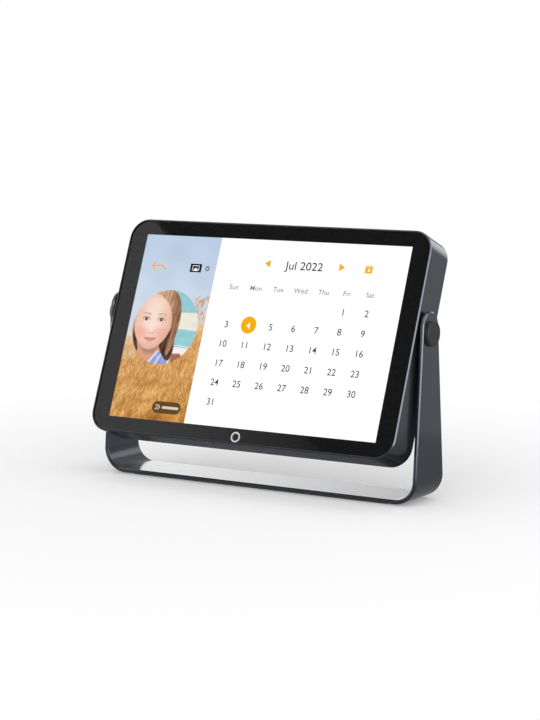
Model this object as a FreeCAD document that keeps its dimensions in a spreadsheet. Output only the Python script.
"""Digital photo frame: a 10.1 inch touch panel that tilts between the arms of a bent metal stand.

Row frame: origin at the centre of the stand's foot pad where it rests, +X to the right of someone
facing the screen, +Y away from them and +Z up.  Pieces of the panel are drawn upright about the
pivot axis and their bodies lean back about that axis.  Millimetres and degrees.
"""

import FreeCAD, Part
import math
import os
import re

import Sketcher

Vector = FreeCAD.Vector

SIZES = {
    # stand: one strip bent to a U
    "pivot_height": 115.0,
    "lean_angle": 21.5,
    "strip_thick": 3.0,
    "side_gap": 1.6,
    "bend_radius": 17.0,
    "base_depth": 39.0,
    "arm_end_radius": 10.8,
    "arm_end_rise": 4.0,
    "pad_thick": 0.8,
    "pad_length": 212.0,
    "pad_depth": 33.0,
    "pad_corner": 4.0,
    # pivots: a keyed pin through each arm and the friction stack on its inner end
    "cap_radius": 8.6,
    "cap_thick": 2.5,
    "cap_wall": 1.2,
    "cap_round": 0.6,
    "pin_radius": 3.0,
    "pin_head_radius": 5.5,
    "pin_head_thick": 1.2,
    "pin_tip": 1.5,
    "key_side": 5.6,
    "run_gap": 0.05,
    "face_gap": 0.1,
    "band_bore_radius": 3.6,
    "thrust_radius": 7.0,
    "thrust_thick": 1.5,
    "washer_radius": 6.0,
    "washer_thick": 1.0,
    "spring_rim_thick": 0.7,
    "spring_thick": 1.4,
    "nut_flats": 10.0,
    "nut_thick": 5.0,
    "bracket_thick": 2.0,
    "bracket_height": 28.0,
    "bracket_window": 15.0,
    "bracket_foot": 20.0,
    "bracket_foot_thick": 1.5,
    "bracket_depth": 14.0,
    "hinge_screw_rise": 10.6,
    "hinge_screw_inset": 14.0,
    # panel casing
    "panel_width": 247.0,
    "panel_height": 158.0,
    "panel_corner": 14.5,
    "panel_depth": 26.0,
    "pivot_rise": 11.6,
    "lip_width": 1.0,
    "wall_thick": 2.0,
    "cover_thick": 2.0,
    "slide_gap": 0.15,
    "ledge_thick": 1.5,
    "rail_width": 6.0,
    "rail_length": 126.0,
    # display stack
    "glass_thick": 1.1,
    "print_thick": 0.1,
    "tape_thick": 0.3,
    "touch_thick": 0.2,
    "screen_width": 217.0,
    "screen_height": 135.6,
    "tray_width": 229.5,
    "tray_height": 149.0,
    "tray_corner": 1.5,
    "tray_gap": 0.75,
    "tray_wall": 0.6,
    "cell_thick": 1.2,
    "diffuser_thick": 0.4,
    "guide_thick": 1.5,
    "reflector_thick": 0.2,
    "tray_floor": 0.5,
    "led_depth": 2.4,
    "led_length": 3.0,
    "led_pitch": 5.4,
    "mark_radius": 3.7,
    "mark_width": 1.2,
    "mark_drop": 73.8,
    # chassis and main board
    "chassis_thick": 1.0,
    "chassis_margin": 1.5,
    "standoff_height": 4.0,
    "standoff_radius": 2.6,
    "board_width": 104.0,
    "board_height": 70.0,
    "board_thick": 1.6,
    "board_low": -46.0,
    "board_hole_inset": 5.0,
    "board_hole_low": 13.0,
    "screw_radius": 1.25,
    "screw_head_radius": 2.5,
    "screw_head_thick": 1.4,
    "screw_drive_radius": 0.9,
    "board_screw_reach": 3.0,
    "case_screw_radius": 1.5,
    "case_screw_head": 2.8,
    "case_screw_thick": 1.2,
    "case_drive_radius": 1.1,
    "case_shank_length": 9.0,
    "case_thread_depth": 10.0,
    "case_post_radius": 3.2,
    "case_column_inner": 52.0,
    "case_column_outer": 108.0,
    "case_row_rise": 63.0,
    "rail_screw_rise": 48.0,
    "chip_x": 2.0,
    "chip_z": -4.0,
    "chip_side": 15.0,
    "chip_thick": 1.2,
    "thermal_thick": 0.5,
    "sink_side": 40.0,
    "sink_base": 1.5,
    "fin_height": 5.0,
    "fin_thick": 1.0,
    "fin_pitch": 4.875,
    "capacitor_radius": 3.0,
    "capacitor_height": 6.0,
    "capacitor_z": 2.0,
    "battery_radius": 7.0,
    "battery_thick": 3.2,
    "battery_x": -36.0,
    "battery_z": 14.0,
    "wifi_x": 33.0,
    "wifi_z": 20.0,
    "wifi_height": 6.0,
    "wifi_thick": 0.8,
    # flexes under the board
    "flex_thick": 0.2,
    "flex_lift": 1.0,
    "flex_socket_thick": 2.0,
    "flex_socket_low": -20.0,
    "flex_slot_width": 30.0,
    "flex_slot_low": -44.0,
    "flex_slot_high": -24.0,
    "display_flex_width": 20.0,
    "display_flex_low": -42.0,
    "display_flex_turn": -26.0,
    "touch_tail_left": 30.0,
    "touch_tail_right": 38.0,
    "touch_tail_reach": 0.3,
    "touch_tail_turn": -22.0,
    "tail_notch_margin": 2.0,
    "tail_notch_rise": 7.0,
    # sockets and the bay they open into
    "bay_half_width": 40.0,
    "bay_low": -82.0,
    "bay_top": -50.0,
    "bay_depth": 15.5,
    "bay_wall": 1.6,
    "socket_wall": 0.4,
    "socket_step": 1.0,
    "jack_place": -26.0,
    "jack_width": 9.0,
    "jack_depth": 11.0,
    "jack_length": 14.0,
    "jack_middle": 6.0,
    "jack_mouth_radius": 3.0,
    "jack_mouth_length": 10.0,
    "jack_contact_radius": 1.0,
    "usb_place": -4.0,
    "usb_width": 13.2,
    "usb_depth": 5.8,
    "usb_length": 13.0,
    "usb_mouth_length": 11.0,
    "usb_tongue_width": 11.0,
    "usb_tongue_thick": 1.8,
    "usb_tongue_length": 11.5,
    "card_place": 24.0,
    "card_width": 28.0,
    "card_depth": 3.0,
    "card_length": 22.0,
    "card_mouth_width": 24.4,
    "card_mouth_length": 21.0,
    # sound, aerial and power button
    "speaker_place": 80.0,
    "speaker_drop": 62.0,
    "speaker_width": 40.0,
    "speaker_height": 22.0,
    "speaker_thick": 9.0,
    "speaker_recess_radius": 8.8,
    "speaker_recess_depth": 2.0,
    "speaker_cone_radius": 6.6,
    "speaker_cone_rise": 1.0,
    "gasket_thick": 1.0,
    "gasket_rim": 2.0,
    "grille_height": 15.4,
    "grille_slot": 1.6,
    "grille_pitch": 4.0,
    "vent_slot": 2.0,
    "vent_pitch": 5.0,
    "vent_low": 38.0,
    "vent_high": 50.0,
    "antenna_left": 16.0,
    "antenna_right": 56.0,
    "antenna_low": 55.0,
    "antenna_high": 63.0,
    "antenna_thick": 0.4,
    "lead_radius": 0.6,
    "lead_pitch": 1.6,
    "lead_level": 1.4,
    "button_x": 92.0,
    "button_z": 40.0,
    "button_radius": 4.0,
    "button_proud": 0.8,
    "button_travel": 0.5,
    "button_gap": 0.3,
    "button_flange_width": 1.0,
    "button_flange_thick": 0.9,
    "button_leg_place": 6.0,
    "button_leg_thick": 2.0,
    "button_leg_height": 8.0,
    "button_board_width": 16.0,
    "button_board_height": 10.0,
    "switch_depth": 7.0,
    "switch_side": 6.0,
    "switch_thick": 3.6,
    "switch_floor": 1.0,
    "plunger_radius": 1.7,
    "plunger_proud": 1.0,
}

document = FreeCAD.newDocument("photo_frame")
sheet = document.addObject("Spreadsheet::Sheet", "dims")
for row, (word, number) in enumerate(SIZES.items(), start=1):
    sheet.set(f"A{row}", word)
    sheet.set(f"B{row}", str(number))
    sheet.setAlias(f"B{row}", word)
document.recompute()

# Depths inside the panel, front to back, as formulas of the sheet.
FRONT = "-panel_depth / 2"
GLASS_BACK = f"{FRONT} + glass_thick"
PRINT_BACK = f"{GLASS_BACK} + print_thick"
LEDGE_FRONT = f"{PRINT_BACK} + tape_thick"
LEDGE_BACK = f"{LEDGE_FRONT} + ledge_thick"
CELL_BACK = f"{LEDGE_FRONT} + cell_thick"
DIFFUSER_BACK = f"{CELL_BACK} + diffuser_thick"
GUIDE_BACK = f"{DIFFUSER_BACK} + guide_thick"
REFLECTOR_BACK = f"{GUIDE_BACK} + reflector_thick"
TRAY_BACK = f"{REFLECTOR_BACK} + tray_floor"
CHASSIS_FRONT = f"{TRAY_BACK} + face_gap"
CHASSIS_BACK = f"{CHASSIS_FRONT} + chassis_thick"
BOARD_FRONT = f"{CHASSIS_BACK} + standoff_height"
BOARD_BACK = f"{BOARD_FRONT} + board_thick"
BACK = "panel_depth / 2"
COVER_INNER = f"{BACK} - cover_thick"
BAY_FLOOR = f"{BACK} - bay_depth"
SWITCH_SEAT = f"{COVER_INNER} - switch_depth"

# Distances from the middle of the object out along the pivot axis.
BAND_OUTER = "panel_width / 2"
BAND_INNER = f"{BAND_OUTER} - wall_thick"
ARM_INNER = f"{BAND_OUTER} + side_gap"
ARM_OUTER = f"{ARM_INNER} + strip_thick"
EAR_OUTER = f"{BAND_INNER} - face_gap"
EAR_INNER = f"{EAR_OUTER} - bracket_thick"
WASHER_OUTER = f"{EAR_INNER} - face_gap"
WASHER_INNER = f"{WASHER_OUTER} - washer_thick"
SPRING_INNER = f"{WASHER_INNER} - spring_thick"
NUT_INNER = f"{SPRING_INNER} - nut_thick"
PIN_INNER = f"{NUT_INNER} - pin_tip"

SIDES = {"left": -1, "right": 1}
TURN = {
    "x": FreeCAD.Rotation(Vector(0, 1, 0), 90),
    "y": FreeCAD.Rotation(Vector(1, 0, 0), -90),
    "z": FreeCAD.Rotation(),
}


def cells(formula):
    """The formula with each word of the sheet written as a reference to its cell."""
    def refer(match):
        word = match.group()
        return f"dims.{word}" if word in SIZES else word
    return re.sub(r"[a-z]\w*", refer, str(formula))


def bind(thing, name, formula):
    thing.setExpression(name, cells(formula))


def mirrored(sign, near, far):
    """The span from near to far out from the middle plane, on the side that sign names."""
    return (near, far) if sign > 0 else (f"-({far})", f"-({near})")


class Piece:
    """One physical piece: a PartDesign body whose features take their sizes from the sheet."""

    def __init__(self, label, leaning=True):
        self.body = document.addObject("PartDesign::Body", label)
        self.body.Label = label
        if leaning:
            self.body.Placement.Rotation = FreeCAD.Rotation(Vector(1, 0, 0), -1)
            bind(self.body, "Placement.Rotation.Angle", "-lean_angle")
            bind(self.body, "Placement.Base.z", "pivot_height")

    def origin(self, role):
        return next(part for part in self.body.Origin.OriginFeatures if part.Role == role)

    def feature(self, kind, name):
        return self.body.newObject(f"PartDesign::{kind}", name)

    def box(self, name, x, y, z, cut=False):
        """A block between a low and a high formula on each axis."""
        block = self.feature("SubtractiveBox" if cut else "AdditiveBox", name)
        for side, axis, (low, high) in zip(("Length", "Width", "Height"), "xyz", (x, y, z)):
            bind(block, side, f"({high}) - ({low})")
            bind(block, f"Placement.Base.{axis}", low)
        return block

    def cylinder(self, name, axis, span, radius, cut=False, **centre):
        """A round of the given radius over the span of one axis, centred on the other two."""
        rod = self.feature("SubtractiveCylinder" if cut else "AdditiveCylinder", name)
        rod.Placement.Rotation = TURN[axis]
        low, high = span
        bind(rod, "Radius", radius)
        bind(rod, "Height", f"({high}) - ({low})")
        bind(rod, f"Placement.Base.{axis}", low)
        for other, formula in centre.items():
            bind(rod, f"Placement.Base.{other}", formula)
        return rod

    def sketch(self, name, role, offset="0"):
        """A sketch on one of the body's origin planes, moved along that plane's normal."""
        drawing = self.body.newObject("Sketcher::SketchObject", name)
        drawing.AttachmentSupport = [(self.origin(role), "")]
        drawing.MapMode = "FlatFace"
        bind(drawing, "AttachmentOffset.Base.z", offset)
        return drawing

    def plate(self, name, outline, y, hole=None, cut=False, **change):
        """A plate facing the front, from one rounded outline or the ring between two."""
        front, rear = y
        drawing = self.sketch(f"{name}_outline", "XZ_Plane", f"-({front if cut else rear})")
        rounded_rectangle(drawing, outline, **change)
        if hole:
            rounded_rectangle(drawing, **hole)
        slab = self.feature("Pocket" if cut else "Pad", name)
        slab.Profile = drawing
        bind(slab, "Length", f"({rear}) - ({front})")
        return slab

    def pattern(self, name, features, steps):
        """Repeat features along one or two axes: each step is axis, pitch and count."""
        repeat = self.feature("MultiTransform", name)
        repeat.Originals = features
        rows = []
        for axis, pitch, count in steps:
            line = self.feature("LinearPattern", f"{name}_{axis.lower()}")
            line.Direction = (self.origin(f"{axis}_Axis"), [""])
            bind(line, "Length", f"{count - 1} * {pitch}")
            line.Occurrences = count
            rows.append(line)
        repeat.Transformations = rows
        self.body.Tip = repeat
        return repeat

    def rounded(self, name, radius, wanted, kind="Fillet"):
        """Round or chamfer the edges of the piece so far that the wanted test picks."""
        document.recompute()
        base = self.body.Tip
        names = [f"Edge{i}" for i, edge in enumerate(base.Shape.Edges, start=1) if wanted(edge)]
        dressing = self.feature(kind, name)
        dressing.Base = (base, names)
        bind(dressing, "Radius" if kind == "Fillet" else "Size", radius)
        return dressing


def half_run(pitch, count):
    """From the middle of a row of equal steps to its first or last thing."""
    return f"{(count - 1) / 2} * {pitch}"


def rounded_rectangle(drawing, outline, inset=(), outset=()):
    """A rounded rectangle about the panel's middle, brought in or out from a named outline."""
    step = sum(SIZES[word] for word in inset) - sum(SIZES[word] for word in outset)
    moved = "".join([f" - {word}" for word in inset] + [f" + {word}" for word in outset])
    width = SIZES[f"{outline}_width"] - 2 * step
    height = SIZES[f"{outline}_height"] - 2 * step
    corner = SIZES[f"{outline}_corner"] - step
    middle = -SIZES["pivot_rise"]
    right, top = width / 2, middle + height / 2
    left, bottom = -right, middle - height / 2

    def line(x1, z1, x2, z2):
        return Part.LineSegment(Vector(x1, z1, 0), Vector(x2, z2, 0))

    def arc(x, z, quarter):
        circle = Part.Circle(Vector(x, z, 0), Vector(0, 0, 1), corner)
        start = quarter * math.pi / 2
        return Part.ArcOfCircle(circle, start, start + math.pi / 2)

    first = drawing.GeometryCount
    drawing.addGeometry([
        line(left + corner, bottom, right - corner, bottom),
        arc(right - corner, bottom + corner, 3),
        line(right, bottom + corner, right, top - corner),
        arc(right - corner, top - corner, 0),
        line(right - corner, top, left + corner, top),
        arc(left + corner, top - corner, 1),
        line(left, top - corner, left, bottom + corner),
        arc(left + corner, bottom + corner, 2),
    ], False)
    base, lower_arc, side, upper_arc, roof, left_arc, left_side, last_arc = range(first, first + 8)
    ring = range(first, first + 8)
    rules = [
        Sketcher.Constraint("Tangent", here, 2, after, 1)
        for here, after in zip(ring, list(ring[1:]) + [first])
    ]
    rules += [Sketcher.Constraint("Horizontal", edge) for edge in (base, roof)]
    rules += [Sketcher.Constraint("Vertical", edge) for edge in (side, left_side)]
    rules += [
        Sketcher.Constraint("Equal", lower_arc, other) for other in (upper_arc, left_arc, last_arc)
    ]
    drawing.addConstraint(rules)
    sizes = [
        (Sketcher.Constraint("Radius", lower_arc, corner), f"{outline}_corner{moved}"),
        (Sketcher.Constraint("DistanceX", left_side, 1, side, 1, width),
         f"{outline}_width + 2 * (0{moved})"),
        (Sketcher.Constraint("DistanceY", base, 1, roof, 1, height),
         f"{outline}_height + 2 * (0{moved})"),
        (Sketcher.Constraint("DistanceX", -1, 1, side, 1, right),
         f"{outline}_width / 2{moved}"),
        (Sketcher.Constraint("DistanceY", -1, 1, roof, 1, top),
         f"{outline}_height / 2{moved} - pivot_rise"),
    ]
    for rule, formula in sizes:
        index = drawing.addConstraint(rule)
        bind(drawing, f"Constraints[{index}]", formula)


# ---- stand ---------------------------------------------------------------------------------

def make_stand_bracket():
    """The strip bent to a U: a ring of two rounded outlines, cut to the arms' tapered side view."""
    bracket = Piece("stand_bracket", leaning=False)
    ring = bracket.sketch("strip_line", "XZ_Plane", "-base_depth / 2")
    stand_outline(ring, inner=False)
    stand_outline(ring, inner=True)
    strip = bracket.feature("Pad", "strip")
    strip.Profile = ring
    bind(strip, "Length", "base_depth")

    view = bracket.sketch("side_view", "YZ_Plane", "0")
    half = SIZES["base_depth"] / 2
    end = SIZES["arm_end_radius"]
    middle = SIZES["pivot_height"] + SIZES["arm_end_rise"]
    low = SIZES["pad_thick"]
    bend = low + SIZES["bend_radius"]
    frame = 2 * middle

    def line(y1, z1, y2, z2):
        return Part.LineSegment(Vector(y1, z1, 0), Vector(y2, z2, 0))

    round_end = Part.ArcOfCircle(Part.Circle(Vector(0, middle, 0), Vector(0, 0, 1), end), 0, math.pi)
    view.addGeometry([
        line(-half, low, half, low),
        line(half, low, half, bend),
        line(half, bend, end, middle),
        round_end,
        line(-end, middle, -half, bend),
        line(-half, bend, -half, low),
    ], False)
    foot, front_edge, front_taper, cap, rear_taper, rear_edge = range(6)
    view.addConstraint([
        Sketcher.Constraint("Coincident", foot, 2, front_edge, 1),
        Sketcher.Constraint("Coincident", front_edge, 2, front_taper, 1),
        Sketcher.Constraint("Tangent", front_taper, 2, cap, 1),
        Sketcher.Constraint("Tangent", cap, 2, rear_taper, 1),
        Sketcher.Constraint("Coincident", rear_taper, 2, rear_edge, 1),
        Sketcher.Constraint("Coincident", rear_edge, 2, foot, 1),
        Sketcher.Constraint("Vertical", front_edge),
        Sketcher.Constraint("Vertical", rear_edge),
        Sketcher.Constraint("Symmetric", foot, 1, foot, 2, -2),
        Sketcher.Constraint("Equal", front_edge, rear_edge),
        Sketcher.Constraint("PointOnObject", cap, 3, -2),
    ])
    sizes = [
        (Sketcher.Constraint("DistanceX", foot, 1, foot, 2, 2 * half), "base_depth"),
        (Sketcher.Constraint("DistanceY", -1, 1, foot, 2, low), "pad_thick"),
        (Sketcher.Constraint("DistanceY", foot, 2, front_edge, 2, bend - low), "bend_radius"),
        (Sketcher.Constraint("Radius", cap, end), "arm_end_radius"),
        (Sketcher.Constraint("DistanceY", -1, 1, cap, 3, middle), "pivot_height + arm_end_rise"),
    ]
    for rule, formula in sizes:
        bind(view, f"Constraints[{view.addConstraint(rule)}]", formula)
    corners = [(-frame, -frame), (frame, -frame), (frame, frame), (-frame, frame)]
    for (y1, z1), (y2, z2) in zip(corners, corners[1:] + corners[:1]):
        edge = view.addGeometry(line(y1, z1, y2, z2), False)
        view.addConstraint(Sketcher.Constraint("Block", edge))
    shaping = bracket.feature("Pocket", "arm_taper")
    shaping.Profile = view
    shaping.Type = "ThroughAll"
    shaping.Midplane = True

    square = ("-(key_side / 2 + run_gap)", "key_side / 2 + run_gap")
    level = ("pivot_height - key_side / 2 - run_gap", "pivot_height + key_side / 2 + run_gap")
    bracket.box("pin_key_hole", (f"-({ARM_OUTER})", ARM_OUTER), square, level, cut=True)


def stand_outline(drawing, inner):
    """One rounded outline of the strip's front view: its inner face or its outer face."""
    thick = SIZES["strip_thick"] if inner else 0
    moved = " - strip_thick" if inner else ""
    right = SIZES["panel_width"] / 2 + SIZES["side_gap"] + SIZES["strip_thick"] - thick
    low = SIZES["pad_thick"] + thick
    top = 2 * SIZES["pivot_height"] - thick
    corner = SIZES["bend_radius"] - thick

    def line(x1, z1, x2, z2):
        return Part.LineSegment(Vector(x1, z1, 0), Vector(x2, z2, 0))

    def bend(x, quarter):
        circle = Part.Circle(Vector(x, low + corner, 0), Vector(0, 0, 1), corner)
        start = quarter * math.pi / 2
        return Part.ArcOfCircle(circle, start, start + math.pi / 2)

    first = drawing.GeometryCount
    drawing.addGeometry([
        line(-right + corner, low, right - corner, low),
        bend(right - corner, 3),
        line(right, low + corner, right, top),
        line(right, top, -right, top),
        line(-right, top, -right, low + corner),
        bend(-right + corner, 2),
    ], False)
    foot, right_bend, right_arm, bridge, left_arm, left_bend = range(first, first + 6)
    drawing.addConstraint([
        Sketcher.Constraint("Tangent", foot, 2, right_bend, 1),
        Sketcher.Constraint("Tangent", right_bend, 2, right_arm, 1),
        Sketcher.Constraint("Coincident", right_arm, 2, bridge, 1),
        Sketcher.Constraint("Coincident", bridge, 2, left_arm, 1),
        Sketcher.Constraint("Tangent", left_arm, 2, left_bend, 1),
        Sketcher.Constraint("Tangent", left_bend, 2, foot, 1),
        Sketcher.Constraint("Horizontal", foot),
        Sketcher.Constraint("Vertical", right_arm),
        Sketcher.Constraint("Vertical", left_arm),
        Sketcher.Constraint("Equal", left_bend, right_bend),
        Sketcher.Constraint("Symmetric", bridge, 1, bridge, 2, -2),
    ])
    sizes = [
        (Sketcher.Constraint("Radius", right_bend, corner), f"bend_radius{moved}"),
        (Sketcher.Constraint("DistanceX", -1, 1, bridge, 1, right), f"{ARM_OUTER}{moved}"),
        (Sketcher.Constraint("DistanceY", -1, 1, foot, 2, low),
         "pad_thick + strip_thick" if inner else "pad_thick"),
        (Sketcher.Constraint("DistanceY", -1, 1, bridge, 1, top), f"2 * pivot_height{moved}"),
    ]
    for rule, formula in sizes:
        bind(drawing, f"Constraints[{drawing.addConstraint(rule)}]", formula)


def make_base_pad():
    pad = Piece("base_pad", leaning=False)
    pad.box(
        "pad",
        ("-pad_length / 2", "pad_length / 2"),
        ("-pad_depth / 2", "pad_depth / 2"),
        ("0", "pad_thick"),
    )
    pad.rounded("corners", "pad_corner", lambda edge: is_along(edge, Vector(0, 0, 1)))


def is_along(edge, direction):
    """True for a straight edge that runs along the direction."""
    if not isinstance(edge.Curve, Part.Line):
        return False
    run = edge.Vertexes[-1].Point - edge.Vertexes[0].Point
    return run.normalize().cross(direction).Length < SIZES["run_gap"]


# ---- pivots --------------------------------------------------------------------------------

def make_pivot(side):
    """Everything on one arm's pivot, from the outer cap in to the lock nut."""
    sign = SIDES[side]
    height = {"y": "0", "z": "pivot_height"}

    def disc(piece, name, near, far, radius, cut=False):
        return piece.cylinder(name, "x", mirrored(sign, near, far), radius, cut=cut, **height)

    cap = Piece(f"pivot_cap_{side}", leaning=False)
    disc(cap, "disc", ARM_OUTER, f"{ARM_OUTER} + cap_thick", "cap_radius")
    face = sign * (SIZES["panel_width"] / 2 + SIZES["side_gap"] + SIZES["strip_thick"]
                   + SIZES["cap_thick"])
    cap.rounded("rim", "cap_round", lambda edge: abs(edge.CenterOfMass.x - face) < SIZES["face_gap"])
    disc(cap, "head_room", ARM_OUTER, f"{ARM_OUTER} + cap_thick - cap_wall / 2",
         "cap_radius - cap_wall", cut=True)

    pin = Piece(f"pivot_pin_{side}", leaning=False)
    disc(pin, "head", ARM_OUTER, f"{ARM_OUTER} + pin_head_thick", "pin_head_radius")
    pin.box("key", mirrored(sign, ARM_INNER, ARM_OUTER), ("-key_side / 2", "key_side / 2"),
            ("pivot_height - key_side / 2", "pivot_height + key_side / 2"))
    disc(pin, "shank", PIN_INNER, ARM_INNER, "pin_radius")

    thrust = Piece(f"thrust_washer_{side}", leaning=False)
    disc(thrust, "ring", f"{ARM_INNER} - thrust_thick", ARM_INNER, "thrust_radius")
    disc(thrust, "bore", f"{ARM_INNER} - thrust_thick", ARM_INNER, "pin_radius + run_gap", cut=True)

    washer = Piece(f"friction_washer_{side}", leaning=False)
    disc(washer, "ring", WASHER_INNER, WASHER_OUTER, "washer_radius")
    disc(washer, "bore", WASHER_INNER, WASHER_OUTER, "pin_radius + run_gap", cut=True)

    spring = Piece(f"spring_washer_{side}", leaning=False)
    disc(spring, "rim", f"{WASHER_INNER} - spring_rim_thick", WASHER_INNER, "washer_radius")
    disc(spring, "crown", SPRING_INNER, f"{WASHER_INNER} - spring_rim_thick",
         "washer_radius - washer_thick")
    disc(spring, "bore", SPRING_INNER, WASHER_INNER, "pin_radius + run_gap", cut=True)

    nut = Piece(f"lock_nut_{side}", leaning=False)
    low, high = mirrored(sign, NUT_INNER, SPRING_INNER)
    hexagon = nut.feature("AdditivePrism", "hexagon")
    hexagon.Polygon = 6
    hexagon.Placement.Rotation = TURN["x"]
    bind(hexagon, "Circumradius", "nut_flats / 2 / cos(30)")
    bind(hexagon, "Height", "nut_thick")
    bind(hexagon, "Placement.Base.x", low)
    bind(hexagon, "Placement.Base.z", "pivot_height")
    disc(nut, "bore", NUT_INNER, SPRING_INNER, "pin_radius + run_gap", cut=True)


def make_hinge_bracket(side):
    """An angle on the chassis plate whose ear turns on the pivot pin."""
    sign = SIDES[side]
    bracket = Piece(f"hinge_bracket_{side}")
    half = ("-bracket_height / 2", "bracket_height / 2")
    bracket.box("ear", mirrored(sign, EAR_INNER, EAR_OUTER),
                (CHASSIS_BACK, f"{CHASSIS_BACK} + bracket_depth"), half)
    bracket.box("foot", mirrored(sign, f"{EAR_OUTER} - bracket_foot", EAR_OUTER),
                (CHASSIS_BACK, f"{CHASSIS_BACK} + bracket_foot_thick"), half)
    bracket.box("washer_room", mirrored(sign, f"{EAR_OUTER} - bracket_foot", EAR_INNER),
                (CHASSIS_BACK, f"{CHASSIS_BACK} + bracket_foot_thick"),
                ("-bracket_window / 2", "bracket_window / 2"), cut=True)
    bracket.cylinder("pin_bore", "x", mirrored(sign, EAR_INNER, EAR_OUTER),
                     "pin_radius + run_gap", cut=True)
    for name, level in hinge_screw_levels():
        bracket.cylinder(f"hole_{name}", "y", (CHASSIS_BACK, f"{CHASSIS_BACK} + bracket_foot_thick"),
                         "screw_radius + face_gap", cut=True,
                         x=hinge_screw_place(sign), z=level)


def hinge_screw_levels():
    return (("low", "-hinge_screw_rise"), ("high", "hinge_screw_rise"))


def hinge_screw_place(sign):
    return f"{sign} * ({EAR_OUTER} - hinge_screw_inset)"


# ---- casing --------------------------------------------------------------------------------

def make_side_band():
    """The deep rim: a front lip round the glass, a ledge behind it, side rails and thin walls."""
    band = Piece("side_band")
    band.plate("rim", "panel", (FRONT, BACK))
    band.plate("glass_seat", "panel", (FRONT, LEDGE_FRONT), inset=["lip_width"], cut=True)
    band.plate("tray_window", "tray", (LEDGE_FRONT, LEDGE_BACK), outset=["tray_gap"], cut=True)
    band.plate("inside", "panel", (LEDGE_BACK, BACK), inset=["wall_thick"], cut=True)
    for side, sign in SIDES.items():
        span = mirrored(sign, f"{BAND_INNER} - rail_width", BAND_INNER)
        band.box(f"rail_{side}", span, (LEDGE_BACK, CHASSIS_FRONT),
                 ("-pivot_rise - rail_length / 2", "-pivot_rise + rail_length / 2"))
        band.cylinder(f"pin_hole_{side}", "x", mirrored(sign, BAND_INNER, BAND_OUTER),
                      "band_bore_radius", cut=True)
        for level, drop in (("low", "-"), ("high", "+")):
            band.cylinder(f"rail_hole_{side}_{level}", "y", (LEDGE_FRONT, CHASSIS_FRONT),
                          "screw_radius + face_gap", cut=True,
                          x=rail_screw_place(sign), z=f"-pivot_rise {drop} rail_screw_rise")


def rail_screw_place(sign):
    return f"{sign} * ({BAND_INNER} - rail_width / 2)"


GRILLE_SLOTS = 8
VENT_SLOTS = 20
SOCKETS = ("jack", "usb", "card")


def make_rear_cover():
    """The back: a flat plate with a socket bay, vents, speaker slots and the button's hole."""
    cover = Piece("rear_cover")
    cover.plate("plate", "panel", (COVER_INNER, BACK), inset=["wall_thick", "slide_gap"])
    cover.box("bay_shell", ("-bay_half_width - bay_wall", "bay_half_width + bay_wall"),
              (f"{BAY_FLOOR} - bay_wall", COVER_INNER),
              ("bay_low - bay_wall", "bay_top + bay_wall"))
    cover.box("bay", ("-bay_half_width", "bay_half_width"), (BAY_FLOOR, BACK),
              ("bay_low", "bay_top"), cut=True)
    for name in SOCKETS:
        cover.box(f"{name}_window", (f"{name}_place - {name}_width / 2 - face_gap",
                                     f"{name}_place + {name}_width / 2 + face_gap"),
                  (f"{BOARD_BACK} - face_gap", f"{BOARD_BACK} + {name}_depth + face_gap"),
                  ("bay_top", "bay_top + bay_wall"), cut=True)
    for side, sign in SIDES.items():
        leg = f"button_x + {sign} * button_leg_place"
        cover.box(f"button_leg_{side}",
                  (f"{leg} - button_leg_thick / 2", f"{leg} + button_leg_thick / 2"),
                  (SWITCH_SEAT, COVER_INNER),
                  ("button_z - button_leg_height / 2", "button_z + button_leg_height / 2"))
    cover.cylinder("button_hole", "y", (COVER_INNER, BACK), "button_radius + button_gap",
                   cut=True, x="button_x", z="button_z")
    for name, x, z in case_screw_places():
        cover.cylinder(f"screw_hole_{name}", "y", (COVER_INNER, BACK),
                       "case_screw_radius + face_gap", cut=True, x=x, z=z)
        cover.cylinder(f"screw_seat_{name}", "y", (f"{BACK} - case_screw_thick", BACK),
                       "case_screw_head + face_gap", cut=True, x=x, z=z)
    for side, sign in SIDES.items():
        first = f"{sign} * speaker_place - {half_run('grille_pitch', GRILLE_SLOTS)}"
        slot = cover.box(
            f"speaker_slot_{side}",
            (f"{first} - grille_slot / 2", f"{first} + grille_slot / 2"),
            (COVER_INNER, BACK),
            ("-speaker_drop - grille_height / 2", "-speaker_drop + grille_height / 2"), cut=True)
        cover.pattern(f"speaker_slots_{side}", [slot], [("X", "grille_pitch", GRILLE_SLOTS)])
    first = f"-{half_run('vent_pitch', VENT_SLOTS)}"
    vent = cover.box("vent_slot", (f"{first} - vent_slot / 2", f"{first} + vent_slot / 2"),
                     (COVER_INNER, BACK), ("vent_low", "vent_high"), cut=True)
    cover.pattern("vents", [vent], [("X", "vent_pitch", VENT_SLOTS)])


def case_screw_places():
    """The eight screws of the rear cover, four along the bottom and four along the top."""
    for row, lift in (("low", "-"), ("high", "+")):
        for column in ("outer", "inner"):
            for side, sign in SIDES.items():
                yield (f"{row}_{column}_{side}", f"{sign} * case_column_{column}",
                       f"-pivot_rise {lift} case_row_rise")


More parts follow.
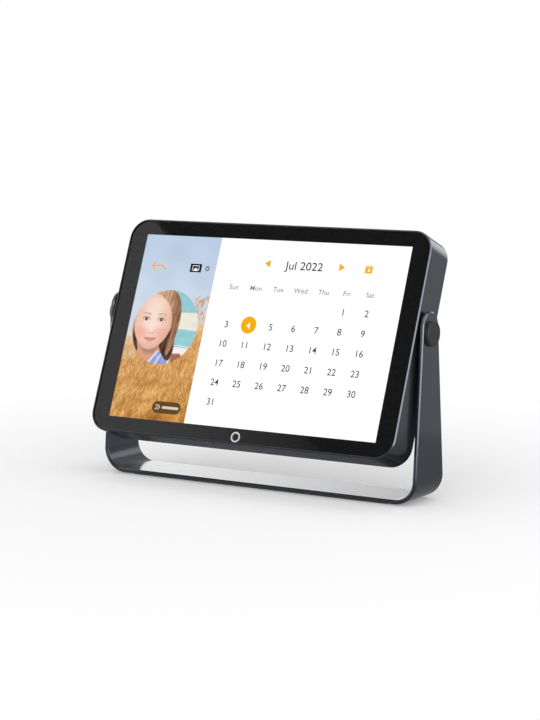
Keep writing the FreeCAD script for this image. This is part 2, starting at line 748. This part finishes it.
def make_case_fixings():
    """The threaded posts on the chassis plate and the screws that hold the rear cover to them."""
    posts = Piece("case_posts")
    screws = Piece("case_screws")
    for name, x, z in case_screw_places():
        posts.cylinder(f"post_{name}", "y", (CHASSIS_BACK, COVER_INNER), "case_post_radius",
                       x=x, z=z)
        posts.cylinder(f"thread_{name}", "y", (f"{BACK} - case_thread_depth", COVER_INNER),
                       "case_screw_radius + run_gap", cut=True, x=x, z=z)
        screws.cylinder(f"shank_{name}", "y", (f"{BACK} - case_shank_length", BACK),
                        "case_screw_radius", x=x, z=z)
        screws.cylinder(f"head_{name}", "y", (f"{BACK} - case_screw_thick", f"{BACK} - face_gap"),
                        "case_screw_head", x=x, z=z)
        screws.cylinder(f"drive_{name}", "y", (f"{BACK} - case_screw_thick / 2", BACK),
                        "case_drive_radius", cut=True, x=x, z=z)


# ---- display stack -------------------------------------------------------------------------

def make_cover_glass():
    glass = Piece("cover_glass")
    glass.plate("sheet", "panel", (FRONT, GLASS_BACK), inset=["lip_width", "slide_gap"])


def screen_window():
    return (("-screen_width / 2", "screen_width / 2"),
            ("-pivot_rise - screen_height / 2", "-pivot_rise + screen_height / 2"))


def make_border_print():
    """The opaque border behind the glass, open over the screen and where the mark shows."""
    border = Piece("border_print")
    border.plate("layer", "panel", (GLASS_BACK, PRINT_BACK), inset=["lip_width", "slide_gap"])
    across, upright = screen_window()
    border.box("window", across, (GLASS_BACK, PRINT_BACK), upright, cut=True)
    border.cylinder("mark_hole", "y", (GLASS_BACK, PRINT_BACK), "mark_radius", cut=True,
                    z="-pivot_rise - mark_drop")
    border.cylinder("mark_middle", "y", (GLASS_BACK, PRINT_BACK), "mark_radius - mark_width",
                    z="-pivot_rise - mark_drop")


def make_border_mark():
    """A plain ring printed on the lower border."""
    mark = Piece("border_mark")
    for name, radius, cut in (("disc", "mark_radius", False),
                              ("middle", "mark_radius - mark_width", True)):
        mark.cylinder(name, "y", (GLASS_BACK, PRINT_BACK), radius, cut=cut,
                      z="-pivot_rise - mark_drop")


def make_glass_tape():
    tape = Piece("glass_tape")
    tape.plate("ring", "panel", (PRINT_BACK, LEDGE_FRONT), inset=["lip_width", "slide_gap"])
    tape.plate("window", "tray", (PRINT_BACK, LEDGE_FRONT), outset=["tray_gap"], cut=True)


def tray_box(piece, name, margin, depths, cut=False):
    """A block centred on the panel, as large as the tray less a margin all round."""
    return piece.box(name, (f"-tray_width / 2 + {margin}", f"tray_width / 2 - {margin}"), depths,
                     (f"-pivot_rise - tray_height / 2 + {margin}",
                      f"-pivot_rise + tray_height / 2 - {margin}"), cut=cut)


LED_COUNT = 40


def make_display():
    """The touch sensor and the display module's sheets, one behind the other, in their tray."""
    touch = Piece("touch_sensor")
    tray_box(touch, "film", "tray_wall", (PRINT_BACK, f"{PRINT_BACK} + touch_thick"))
    cell = Piece("lcd_cell")
    tray_box(cell, "glass", "1.5 * tray_wall", (LEDGE_FRONT, CELL_BACK))
    diffuser = Piece("diffuser_sheet")
    tray_box(diffuser, "sheet", "2 * tray_wall", (CELL_BACK, DIFFUSER_BACK))

    low = "-pivot_rise - tray_height / 2"
    guide = Piece("light_guide")
    guide.box("slab", ("-tray_width / 2 + 2 * tray_wall", "tray_width / 2 - 2 * tray_wall"),
              (DIFFUSER_BACK, GUIDE_BACK),
              (f"{low} + 2 * tray_wall + led_depth",
               "-pivot_rise + tray_height / 2 - 2 * tray_wall"))
    strip = Piece("led_strip")
    strip.box("carrier", (f"-{LED_COUNT} * led_pitch / 2", f"{LED_COUNT} * led_pitch / 2"),
              (DIFFUSER_BACK, GUIDE_BACK), (f"{low} + 2 * tray_wall", f"{low} + 3 * tray_wall"))
    first = f"-{half_run('led_pitch', LED_COUNT)}"
    lamp = strip.box("lamp", (f"{first} - led_length / 2", f"{first} + led_length / 2"),
                     (f"{DIFFUSER_BACK} + face_gap", f"{GUIDE_BACK} - face_gap"),
                     (f"{low} + 3 * tray_wall", f"{low} + 2 * tray_wall + led_depth - face_gap"))
    strip.pattern("lamps", [lamp], [("X", "led_pitch", LED_COUNT)])
    reflector = Piece("reflector_sheet")
    tray_box(reflector, "sheet", "2 * tray_wall", (GUIDE_BACK, REFLECTOR_BACK))
    tray = Piece("lcd_tray")
    tray_box(tray, "pan", "0", (LEDGE_FRONT, TRAY_BACK))
    tray_box(tray, "inside", "tray_wall", (LEDGE_FRONT, REFLECTOR_BACK), cut=True)


# ---- chassis and boards --------------------------------------------------------------------

def make_chassis_plate():
    """The steel plate behind the display that carries the board, the posts and the hinges."""
    plate = Piece("chassis_plate")
    plate.plate("sheet", "panel", (CHASSIS_FRONT, CHASSIS_BACK),
                inset=["wall_thick", "chassis_margin"])
    plate.box("flex_slot", ("-flex_slot_width / 2", "flex_slot_width / 2"),
              (CHASSIS_FRONT, CHASSIS_BACK), ("flex_slot_low", "flex_slot_high"), cut=True)
    plate.box("tail_notch",
              ("touch_tail_left - tail_notch_margin", "touch_tail_right + tail_notch_margin"),
              (CHASSIS_FRONT, CHASSIS_BACK),
              ("-pivot_rise - panel_height / 2",
               "-pivot_rise - panel_height / 2 + tail_notch_rise"), cut=True)
    for side, sign in SIDES.items():
        for level, drop in (("low", "-"), ("high", "+")):
            plate.cylinder(f"rail_hole_{side}_{level}", "y", (CHASSIS_FRONT, CHASSIS_BACK),
                           "screw_radius + face_gap", cut=True,
                           x=rail_screw_place(sign), z=f"-pivot_rise {drop} rail_screw_rise")
        for level, height in hinge_screw_levels():
            plate.cylinder(f"hinge_hole_{side}_{level}", "y", (CHASSIS_FRONT, CHASSIS_BACK),
                           "screw_radius + face_gap", cut=True,
                           x=hinge_screw_place(sign), z=height)


def make_chassis_screws():
    """The screws into the band's rails and those through the hinge brackets' feet."""
    rail = Piece("rail_screws")
    hinge = Piece("hinge_screws")
    for side, sign in SIDES.items():
        for level, drop in (("low", "-"), ("high", "+")):
            place = {"x": rail_screw_place(sign), "z": f"-pivot_rise {drop} rail_screw_rise"}
            screw(rail, f"{side}_{level}", LEDGE_BACK, CHASSIS_BACK, place)
        for level, height in hinge_screw_levels():
            place = {"x": hinge_screw_place(sign), "z": height}
            screw(hinge, f"{side}_{level}", CHASSIS_FRONT, f"{CHASSIS_BACK} + bracket_foot_thick",
                  place)


def screw(piece, name, tip, seat, place):
    """A pan-head screw driven from behind, its head on the seat and a cross cut to a round."""
    piece.cylinder(f"shank_{name}", "y", (tip, seat), "screw_radius", **place)
    piece.cylinder(f"head_{name}", "y", (seat, f"{seat} + screw_head_thick"),
                   "screw_head_radius", **place)
    piece.cylinder(f"drive_{name}", "y", (f"{seat} + screw_head_thick / 2",
                                          f"{seat} + screw_head_thick"),
                   "screw_drive_radius", cut=True, **place)


def board_hole_places():
    for side, sign in SIDES.items():
        across = f"{sign} * (board_width / 2 - board_hole_inset)"
        yield f"low_{side}", across, "board_low + board_hole_low"
        yield f"high_{side}", across, "board_low + board_height - board_hole_inset"


def on_board(piece, name, place, thick, base=BOARD_BACK):
    """A block that stands on the back of the board: its middle, its two sides and its height."""
    x, z, wide, tall = place
    return piece.box(name, (f"{x} - {wide} / 2", f"{x} + {wide} / 2"), (base, f"{base} + {thick}"),
                     (f"{z} - {tall} / 2", f"{z} + {tall} / 2"))


# Parts on the board: middle across, middle up, width and height, and then the thickness.
SPEAKER_SOCKET = (48, -20, 5, 6)
BUTTON_SOCKET = (48, 8, 6, 5)
LEAD_SOCKET_THICK = 3
COILS = ((-44, -10, 7, 7), (-34, -10, 7, 7), (-24, -10, 7, 7))
COIL_THICK = 3
CAPACITORS_X = (-46, -38)
MEMORY_CHIPS = ((30, -6, 9, 11), (30, 7, 9, 11))
FLASH_CHIP = (-22, 12, 10, 13)
CHIP_THICK = 1
WIFI_BOARD = ("wifi_x", "wifi_z", 12, "wifi_height")
WIFI_CAN = ("wifi_x", "wifi_z", 11, 5)
WIFI_CAN_THICK = 1.4

# Flex sockets on the board's front: left, right and height.
FLEX_SOCKETS = {"display_socket": (-13, 13, 5), "touch_socket": (29, 39, 4)}


def make_main_board():
    """The board with its small soldered parts: connectors, coils and capacitors."""
    board = Piece("main_board")
    board.box("laminate", ("-board_width / 2", "board_width / 2"), (BOARD_FRONT, BOARD_BACK),
              ("board_low", "board_low + board_height"))
    for name, x, z in board_hole_places():
        board.cylinder(f"hole_{name}", "y", (BOARD_FRONT, BOARD_BACK),
                       "screw_radius + face_gap", cut=True, x=x, z=z)
    for name, (left, right, height) in FLEX_SOCKETS.items():
        board.box(name, (left, right), (f"{BOARD_FRONT} - flex_socket_thick", BOARD_FRONT),
                  ("flex_socket_low", f"flex_socket_low + {height}"))
    x, *rest = SPEAKER_SOCKET
    for side, sign in SIDES.items():
        on_board(board, f"speaker_socket_{side}", (sign * x, *rest), LEAD_SOCKET_THICK)
    on_board(board, "button_socket", BUTTON_SOCKET, LEAD_SOCKET_THICK)
    for count, place in enumerate(COILS):
        on_board(board, f"coil_{count}", place, COIL_THICK)
    for count, x in enumerate(CAPACITORS_X):
        board.cylinder(f"capacitor_{count}", "y", (BOARD_BACK, f"{BOARD_BACK} + capacitor_height"),
                       "capacitor_radius", x=x, z="capacitor_z")


def make_board_fixings():
    standoffs = Piece("board_standoffs")
    screws = Piece("board_screws")
    for name, x, z in board_hole_places():
        standoffs.cylinder(f"post_{name}", "y", (CHASSIS_BACK, BOARD_FRONT), "standoff_radius",
                           x=x, z=z)
        standoffs.cylinder(f"thread_{name}", "y", (CHASSIS_BACK, BOARD_FRONT),
                           "screw_radius + run_gap", cut=True, x=x, z=z)
        screw(screws, name, f"{BOARD_FRONT} - board_screw_reach", BOARD_BACK, {"x": x, "z": z})


FIN_COUNT = 9


def make_board_parts():
    """The larger parts on the board, each of its own."""
    chip_place = ("chip_x", "chip_z", "chip_side", "chip_side")
    on_board(Piece("processor_chip"), "package", chip_place, "chip_thick")
    on_board(Piece("thermal_pad"), "pad", chip_place, "thermal_thick",
             base=f"{BOARD_BACK} + chip_thick")
    sink = Piece("heat_sink")
    sink_back = f"{BOARD_BACK} + chip_thick + thermal_thick"
    fins_from = f"{sink_back} + sink_base"
    on_board(sink, "base", ("chip_x", "chip_z", "sink_side", "sink_side"), "sink_base",
             base=sink_back)
    first = f"chip_x - {half_run('fin_pitch', FIN_COUNT)}"
    fin = sink.box("fin", (f"{first} - fin_thick / 2", f"{first} + fin_thick / 2"),
                   (fins_from, f"{fins_from} + fin_height"),
                   ("chip_z - sink_side / 2", "chip_z + sink_side / 2"))
    sink.pattern("fins", [fin], [("X", "fin_pitch", FIN_COUNT)])
    memory = Piece("memory_chips")
    for count, place in enumerate(MEMORY_CHIPS):
        on_board(memory, f"package_{count}", place, CHIP_THICK)
    on_board(Piece("flash_chip"), "package", FLASH_CHIP, CHIP_THICK)
    radio = Piece("wifi_module")
    on_board(radio, "board", WIFI_BOARD, "wifi_thick")
    on_board(radio, "can", WIFI_CAN, WIFI_CAN_THICK, base=f"{BOARD_BACK} + wifi_thick")
    battery = Piece("clock_battery")
    battery.cylinder("cell", "y", (BOARD_BACK, f"{BOARD_BACK} + battery_thick"),
                     "battery_radius", x="battery_x", z="battery_z")


def socket_shell(label, name):
    """The closed outside of one socket, standing on the bay's top wall behind its window."""
    piece = Piece(label)
    piece.box("shell", (f"{name}_place - {name}_width / 2", f"{name}_place + {name}_width / 2"),
              (BOARD_BACK, f"{BOARD_BACK} + {name}_depth"),
              ("bay_top + face_gap", f"bay_top + {name}_length"))
    return piece


def make_sockets():
    """The power jack, the USB socket and the memory card slot, all opening downwards."""
    mouth = "bay_top + face_gap"
    jack = socket_shell("power_jack", "jack")
    middle = {"x": "jack_place", "y": f"{BOARD_BACK} + jack_middle"}
    jack.cylinder("mouth", "z", (mouth, "bay_top + jack_mouth_length"), "jack_mouth_radius",
                  cut=True, **middle)
    jack.cylinder("contact_pin", "z",
                  ("bay_top + socket_step", "bay_top + jack_mouth_length + socket_step"),
                  "jack_contact_radius", **middle)

    usb = socket_shell("usb_socket", "usb")
    front, rear = f"{BOARD_BACK} + socket_wall", f"{BOARD_BACK} + usb_depth - socket_wall"
    usb.box("mouth", ("usb_place - usb_width / 2 + socket_wall",
                      "usb_place + usb_width / 2 - socket_wall"),
            (front, rear), (mouth, "bay_top + usb_mouth_length"), cut=True)
    usb.box("tongue", ("usb_place - usb_tongue_width / 2", "usb_place + usb_tongue_width / 2"),
            (f"{rear} - socket_wall - usb_tongue_thick", f"{rear} - socket_wall"),
            ("bay_top + socket_step", "bay_top + usb_tongue_length"))

    card = socket_shell("card_slot", "card")
    card.box("mouth", ("card_place - card_mouth_width / 2", "card_place + card_mouth_width / 2"),
             (front, f"{BOARD_BACK} + card_depth - socket_wall"),
             (mouth, "bay_top + card_mouth_length"), cut=True)


def ribbon(label, x, legs):
    """A flat flex of straight legs, each a span in depth and a span in height."""
    flex = Piece(label)
    for count, (depths, heights) in enumerate(legs):
        flex.box(f"leg_{count}", x, depths, heights)


def make_flexes():
    """The display's tail through the chassis slot and the touch tail round the bottom edge."""
    def sheet(face):
        return face, f"{face} + flex_thick"

    raised = f"{BOARD_FRONT} - flex_lift"
    ribbon("display_flex", ("-display_flex_width / 2", "display_flex_width / 2"), [
        (sheet(TRAY_BACK), ("display_flex_low", "display_flex_turn")),
        ((TRAY_BACK, f"{raised} + flex_thick"), sheet("display_flex_turn")),
        (sheet(raised), ("display_flex_turn", "flex_socket_low")),
    ])
    tray_low = "-pivot_rise - tray_height / 2"
    edge = f"{tray_low} - touch_tail_reach"
    lying = f"{CHASSIS_BACK} + face_gap"
    ribbon("touch_flex", ("touch_tail_left", "touch_tail_right"), [
        (sheet(PRINT_BACK), (edge, f"{tray_low} + tray_wall")),
        ((PRINT_BACK, f"{lying} + flex_thick"), (f"{edge} - flex_thick", edge)),
        (sheet(lying), (edge, "touch_tail_turn")),
        ((lying, f"{raised} + flex_thick"), sheet("touch_tail_turn")),
        (sheet(raised), ("touch_tail_turn", "flex_socket_low")),
    ])


# ---- sound, aerial, leads and the button ---------------------------------------------------

def make_speaker(side):
    """A flat box speaker: its housing with a round recess and the domed cone in it."""
    sign = SIDES[side]
    speaker = Piece(f"speaker_{side}")
    middle = {"x": f"{sign} * speaker_place", "z": "-speaker_drop"}
    face = f"{COVER_INNER} - gasket_thick"
    speaker.box("housing", (f"{sign} * speaker_place - speaker_width / 2",
                            f"{sign} * speaker_place + speaker_width / 2"),
                (f"{face} - speaker_thick", face),
                ("-speaker_drop - speaker_height / 2", "-speaker_drop + speaker_height / 2"))
    floor = f"{face} - speaker_recess_depth"
    speaker.cylinder("recess", "y", (floor, face), "speaker_recess_radius", cut=True, **middle)
    speaker.cylinder("cone", "y", (floor, f"{floor} + speaker_cone_rise"), "speaker_cone_radius",
                     **middle)


def make_speaker_gaskets():
    gaskets = Piece("speaker_gaskets")
    for side, sign in SIDES.items():
        for name, inset, cut in (("pad", "0", False), ("window", "gasket_rim", True)):
            gaskets.box(f"{name}_{side}",
                        (f"{sign} * speaker_place - speaker_width / 2 + {inset}",
                         f"{sign} * speaker_place + speaker_width / 2 - {inset}"),
                        (f"{COVER_INNER} - gasket_thick", COVER_INNER),
                        (f"-speaker_drop - speaker_height / 2 + {inset}",
                         f"-speaker_drop + speaker_height / 2 - {inset}"), cut=cut)


def make_antenna():
    antenna = Piece("wifi_antenna")
    antenna.box("film", ("antenna_left", "antenna_right"),
                (f"{COVER_INNER} - antenna_thick", COVER_INNER), ("antenna_low", "antenna_high"))


BEND_SHARE = 0.45
AERIAL_RISES_FROM = 34.0
AERIAL_RISES_TO = 46.0
SPEAKER_LEAD_LIFT = 1.0
SPEAKER_LEAD_INSET = 4.0
BUTTON_LEAD_RISE = (62.0, 74.0)


def lead(label, routes):
    """Round leads along straight runs joined by tangent arcs, one solid for each route."""
    runs = []
    for route in routes:
        points = [Vector(*point) for point in route]
        edges = []
        start = points[0]
        for before, corner, after in zip(points, points[1:], points[2:]):
            run_in = (corner - before).normalize()
            run_out = (after - corner).normalize()
            reach = BEND_SHARE * min((corner - before).Length, (after - corner).Length)
            bend_in = corner - run_in * reach
            bend_out = corner + run_out * reach
            radius_there = reach / math.tan(run_in.getAngle(run_out) / 2)
            bisector = (run_out - run_in).normalize()
            deep = math.hypot(reach, radius_there) - radius_there
            edges.append(Part.LineSegment(start, bend_in).toShape())
            edges.append(Part.Arc(bend_in, corner + bisector * deep, bend_out).toShape())
            start = bend_out
        edges.append(Part.LineSegment(start, points[-1]).toShape())
        spine = Part.Wire(edges)
        section = Part.Wire([
            Part.makeCircle(SIZES["lead_radius"], points[0], points[1] - points[0])])
        runs.append(spine.makePipeShell([section], True, False))
    cable = document.addObject("Part::Feature", label)
    cable.Label = label
    cable.Shape = Part.makeCompound(runs) if len(runs) > 1 else runs[0]
    cable.Placement = FreeCAD.Placement(
        Vector(0, 0, SIZES["pivot_height"]),
        FreeCAD.Rotation(Vector(1, 0, 0), -SIZES["lean_angle"]),
    )
    return cable


def make_leads():
    """The aerial's coaxial lead, the speaker leads and the button board's lead."""
    size = SIZES
    gap, pitch = size["face_gap"], size["lead_pitch"]
    level = -size["panel_depth"] / 2 + size["lead_level"] + sum(size[word] for word in (
        "glass_thick", "print_thick", "tape_thick", "cell_thick", "diffuser_thick",
        "guide_thick", "reflector_thick", "tray_floor", "face_gap", "chassis_thick",
        "standoff_height", "board_thick"))
    cover_face = size["panel_depth"] / 2 - size["cover_thick"]

    x = size["wifi_x"]
    under_film = cover_face - size["antenna_thick"] - size["lead_radius"] - gap
    lead("antenna_lead", [[
        (x, level, size["wifi_z"] + size["wifi_height"] / 2 + gap),
        (x, level, AERIAL_RISES_FROM),
        (x, under_film, AERIAL_RISES_TO),
        (x, under_film, size["antenna_low"] + size["lead_radius"]),
    ]])

    socket_x, socket_z, socket_wide, _ = SPEAKER_SOCKET
    upper = level + SPEAKER_LEAD_LIFT
    speaker_top = -size["speaker_drop"] + size["speaker_height"] / 2
    speaker_side = size["speaker_place"] - size["speaker_width"] / 2 + SPEAKER_LEAD_INSET
    lead("speaker_leads", [[
        (sign * (speaker_side + shift), upper, speaker_top),
        (sign * (speaker_side + shift), upper, socket_z + shift),
        (sign * (socket_x + socket_wide / 2 + gap), upper, socket_z + shift),
    ] for sign in SIDES.values() for shift in (0, pitch)])

    socket_x, socket_z, socket_wide, _ = BUTTON_SOCKET
    at_button = cover_face - size["switch_depth"] - size["board_thick"] / 2
    board_edge = size["button_x"] - size["button_board_width"] / 2 - gap
    near, far = BUTTON_LEAD_RISE
    lead("button_lead", [[
        (socket_x + socket_wide / 2 + gap, level, socket_z + shift),
        (near, level, socket_z + shift),
        (far, at_button, size["button_z"] + shift),
        (board_edge, at_button, size["button_z"] + shift),
    ] for shift in (-pitch / 2, pitch / 2)])


def make_power_button():
    """The button, the plunger it bears on, the switch and the small board under them."""
    middle = {"x": "button_x", "z": "button_z"}
    well_floor = f"{SWITCH_SEAT} + switch_floor"
    plunger_end = f"{SWITCH_SEAT} + switch_thick + plunger_proud"
    flange_back = f"{COVER_INNER} - face_gap"
    flange_front = f"{flange_back} - button_flange_thick"

    board = Piece("button_board")
    board.box("laminate",
              ("button_x - button_board_width / 2", "button_x + button_board_width / 2"),
              (f"{SWITCH_SEAT} - board_thick", SWITCH_SEAT),
              ("button_z - button_board_height / 2", "button_z + button_board_height / 2"))
    switch = Piece("tact_switch")
    switch.box("body", ("button_x - switch_side / 2", "button_x + switch_side / 2"),
               (SWITCH_SEAT, f"{SWITCH_SEAT} + switch_thick"),
               ("button_z - switch_side / 2", "button_z + switch_side / 2"))
    switch.cylinder("well", "y", (well_floor, f"{SWITCH_SEAT} + switch_thick"),
                    "plunger_radius + face_gap", cut=True, **middle)
    plunger = Piece("switch_plunger")
    plunger.cylinder("rod", "y", (f"{well_floor} + button_travel + face_gap", plunger_end),
                     "plunger_radius", **middle)
    button = Piece("power_button")
    button.cylinder("cap", "y", (flange_back, f"{BACK} + button_proud"), "button_radius", **middle)
    rim = SIZES["panel_depth"] / 2 + SIZES["button_proud"]
    button.rounded("rim", "button_gap",
                   lambda edge: abs(edge.CenterOfMass.y - rim) < SIZES["run_gap"])
    button.cylinder("flange", "y", (flange_front, flange_back),
                    "button_radius + button_flange_width", **middle)
    button.cylinder("stem", "y", (plunger_end, flange_front), "plunger_radius", **middle)


# ---- build, check and write ----------------------------------------------------------------

def build():
    make_stand_bracket()
    make_base_pad()
    for side in SIDES:
        make_pivot(side)
        make_hinge_bracket(side)
        make_speaker(side)
    make_side_band()
    make_rear_cover()
    make_case_fixings()
    make_cover_glass()
    make_border_print()
    make_border_mark()
    make_glass_tape()
    make_display()
    make_chassis_plate()
    make_chassis_screws()
    make_main_board()
    make_board_fixings()
    make_board_parts()
    make_sockets()
    make_flexes()
    make_speaker_gaskets()
    make_antenna()
    make_leads()
    make_power_button()
    document.recompute()


def pieces():
    kinds = ("PartDesign::Body", "Part::Feature")
    return [thing for thing in document.Objects if thing.TypeId in kinds]


def check():
    """Stop on any object the recompute left failed and on any shape that is missing or faulty."""
    faults = [
        f"{thing.Name}: {thing.State}" for thing in document.Objects
        if "Invalid" in thing.State or "Error" in thing.State
    ]
    for piece in pieces():
        if piece.Shape.isNull() or not piece.Shape.isValid() or not piece.Shape.Solids:
            faults.append(f"{piece.Label}: no valid solid")
    if faults:
        raise RuntimeError("; ".join(faults))


def write():
    os.makedirs("parts", exist_ok=True)
    for piece in pieces():
        piece.Shape.exportStep(f"parts/{piece.Label}.step")
        box = piece.Shape.BoundBox
        print(f"{piece.Label:22s} solids {len(piece.Shape.Solids):3d}  volume {piece.Shape.Volume:9.1f}"
              f"  z {box.ZMin:7.2f} to {box.ZMax:7.2f}")


build()
check()
write()
